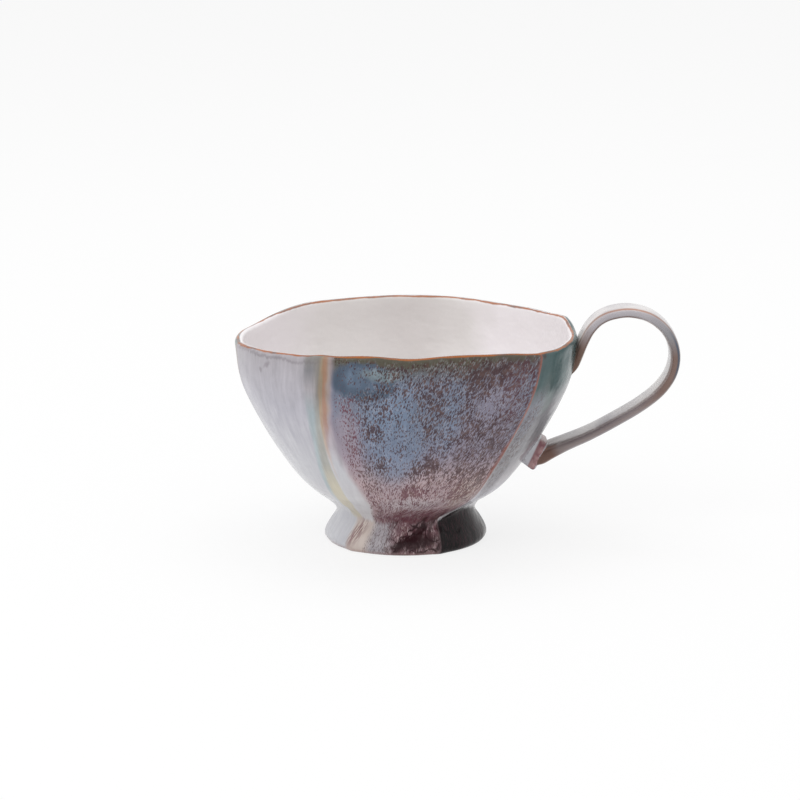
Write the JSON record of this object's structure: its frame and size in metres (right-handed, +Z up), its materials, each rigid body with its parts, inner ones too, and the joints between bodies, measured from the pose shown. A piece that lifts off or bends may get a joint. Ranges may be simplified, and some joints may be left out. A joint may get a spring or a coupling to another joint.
{
  "type": "pedestal mug",
  "caption": "Wide ceramic mug on a low flared foot, with soft vertical ridges, a gently dipping rim and a flat strap handle that loops above the rim.",
  "frame": {"origin": "middle of the foot, on the surface that the mug stands on", "axes": "+X towards the handle, +Z up through the mouth, -Y is the front"},
  "size_m": [0.1418, 0.1088, 0.0755],
  "materials": {
    "glaze": "glossy reactive glaze: pale grey, lavender and slate blue with maroon flecks, warm brown where it thins on edges"
  },
  "bodies": {
    "root": {"mug": "glaze"}
  },
  "joints": []
}
